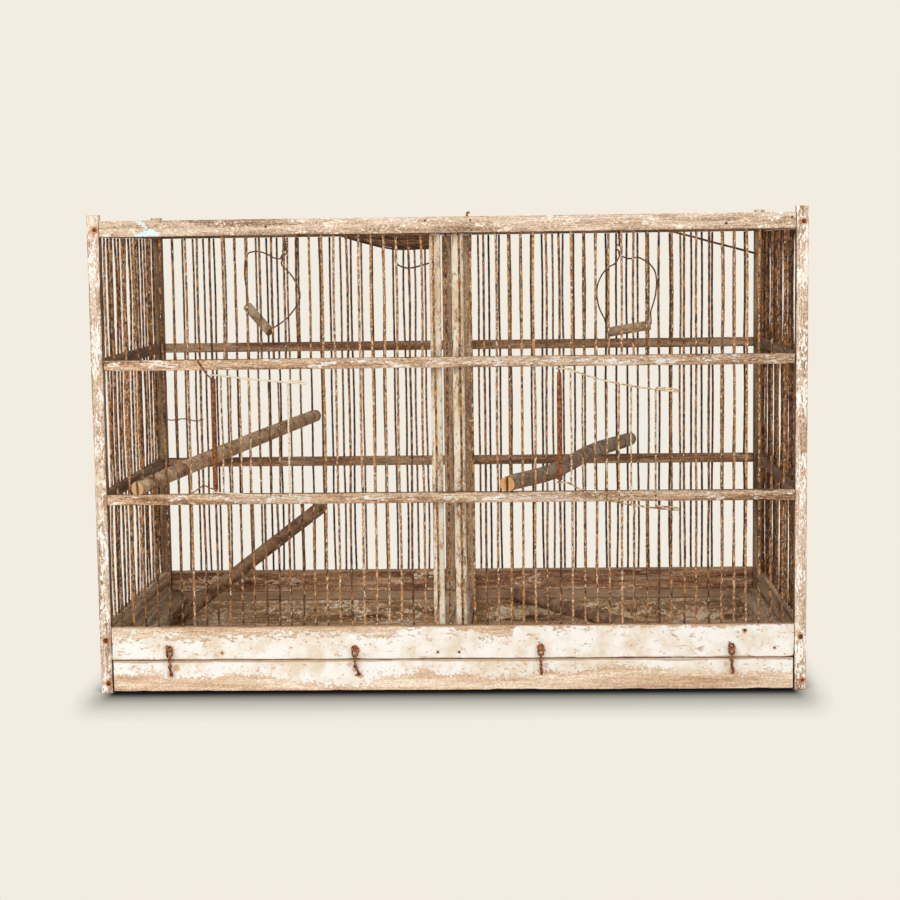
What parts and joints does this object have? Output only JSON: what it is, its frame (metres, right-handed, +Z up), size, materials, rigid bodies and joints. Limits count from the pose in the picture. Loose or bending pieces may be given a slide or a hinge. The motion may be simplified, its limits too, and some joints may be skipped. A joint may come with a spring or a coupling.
{
  "type": "wire birdcage",
  "caption": "Long wooden bird cage with wire grilles, sprung wire doors, a drop flap in front of floor trays, hanging swings and slotted perches.",
  "frame": {"origin": "on the ground under the middle of the cage, on the underside of the centre floor rail", "axes": "+X to the right seen from the front, +Y to the back, +Z up"},
  "size_m": [0.715, 0.4217, 0.487],
  "materials": {
    "painted_wood": "peeling cream paint over bare wood",
    "weathered_wood": "weathered, with flecks of old paint",
    "bare_wood": "dull, aged",
    "perch_wood": "dull, ringed",
    "rusty_wire": "rusted, with flecks of old paint",
    "sheet_metal": "dull, dirty"
  },
  "bodies": {
    "cage": {"front_left_post": "painted_wood", "front_right_post": "painted_wood", "back_left_post": "painted_wood", "back_right_post": "painted_wood", "front_top_rail": "weathered_wood", "back_top_rail": "weathered_wood", "left_top_rail": "weathered_wood", "right_top_rail": "weathered_wood", "front_base_board": "painted_wood", "back_upper_board": "bare_wood", "back_lower_board": "bare_wood", "left_side_board": "painted_wood", "right_side_board": "painted_wood", "front_left_stile": "painted_wood", "front_right_stile": "painted_wood", "back_left_stile": "painted_wood", "back_right_stile": "painted_wood", "left_centre_batten": "bare_wood", "right_centre_batten": "bare_wood", "centre_floor_rail": "bare_wood", "front_grille": "rusty_wire", "back_grille": "rusty_wire", "left_grille": "rusty_wire", "right_grille": "rusty_wire", "left_roof_grille": "bare_wood", "right_roof_grille": "bare_wood", "left_tray": "sheet_metal", "right_tray": "sheet_metal", "left_tray_runner": "bare_wood", "right_tray_runner": "bare_wood", "left_litter_guide": "bare_wood", "right_litter_guide": "bare_wood", "flap_staple_1": "rusty_wire", "flap_staple_2": "rusty_wire", "flap_staple_3": "rusty_wire", "flap_staple_4": "rusty_wire", "left_door_coil": "rusty_wire", "right_door_coil": "rusty_wire", "tie_wire": "rusty_wire", "left_swing_hook": "rusty_wire", "right_swing_hook": "rusty_wire", "left_perch": "perch_wood", "right_perch": "perch_wood", "left_fallen_perch": "perch_wood", "right_fallen_perch": "perch_wood"},
    "flap": {"tray_flap": "painted_wood", "flap_hairpin_1": "rusty_wire", "flap_hairpin_2": "rusty_wire", "flap_hairpin_3": "rusty_wire", "flap_hairpin_4": "rusty_wire"},
    "left_door": {"left_door": "rusty_wire"},
    "right_door": {"right_door": "rusty_wire"},
    "left_swing": {"left_swing_loop": "rusty_wire", "left_swing_dowel": "perch_wood"},
    "right_swing": {"right_swing_loop": "rusty_wire", "right_swing_dowel": "perch_wood"}
  },
  "joints": [
    {"name": "flap_hinge", "type": "hinge", "parent": "cage", "child": "flap", "pos_m": [0, -0.1774, 0.0372], "axis": [-1, 0, 0], "range_deg": [0, 160]},
    {"name": "left_door_hinge", "type": "hinge", "parent": "cage", "child": "left_door", "pos_m": [-0.2356, -0.1705, 0.265], "axis": [0, 0, -1], "range_deg": [-33, 57]},
    {"name": "right_door_hinge", "type": "hinge", "parent": "cage", "child": "right_door", "pos_m": [0.1116, -0.1705, 0.265], "axis": [0, 0, -1], "range_deg": [-10, 71.5]},
    {"name": "left_swing_hinge", "type": "hinge", "parent": "cage", "child": "left_swing", "pos_m": [-0.1813, 0, 0.449], "axis": [0.7727, -0.6347, 0], "range_deg": [-35, 35]},
    {"name": "right_swing_hinge", "type": "hinge", "parent": "cage", "child": "right_swing", "pos_m": [0.1807, 0, 0.449], "axis": [1, 0, 0], "range_deg": [-35, 35]}
  ]
}
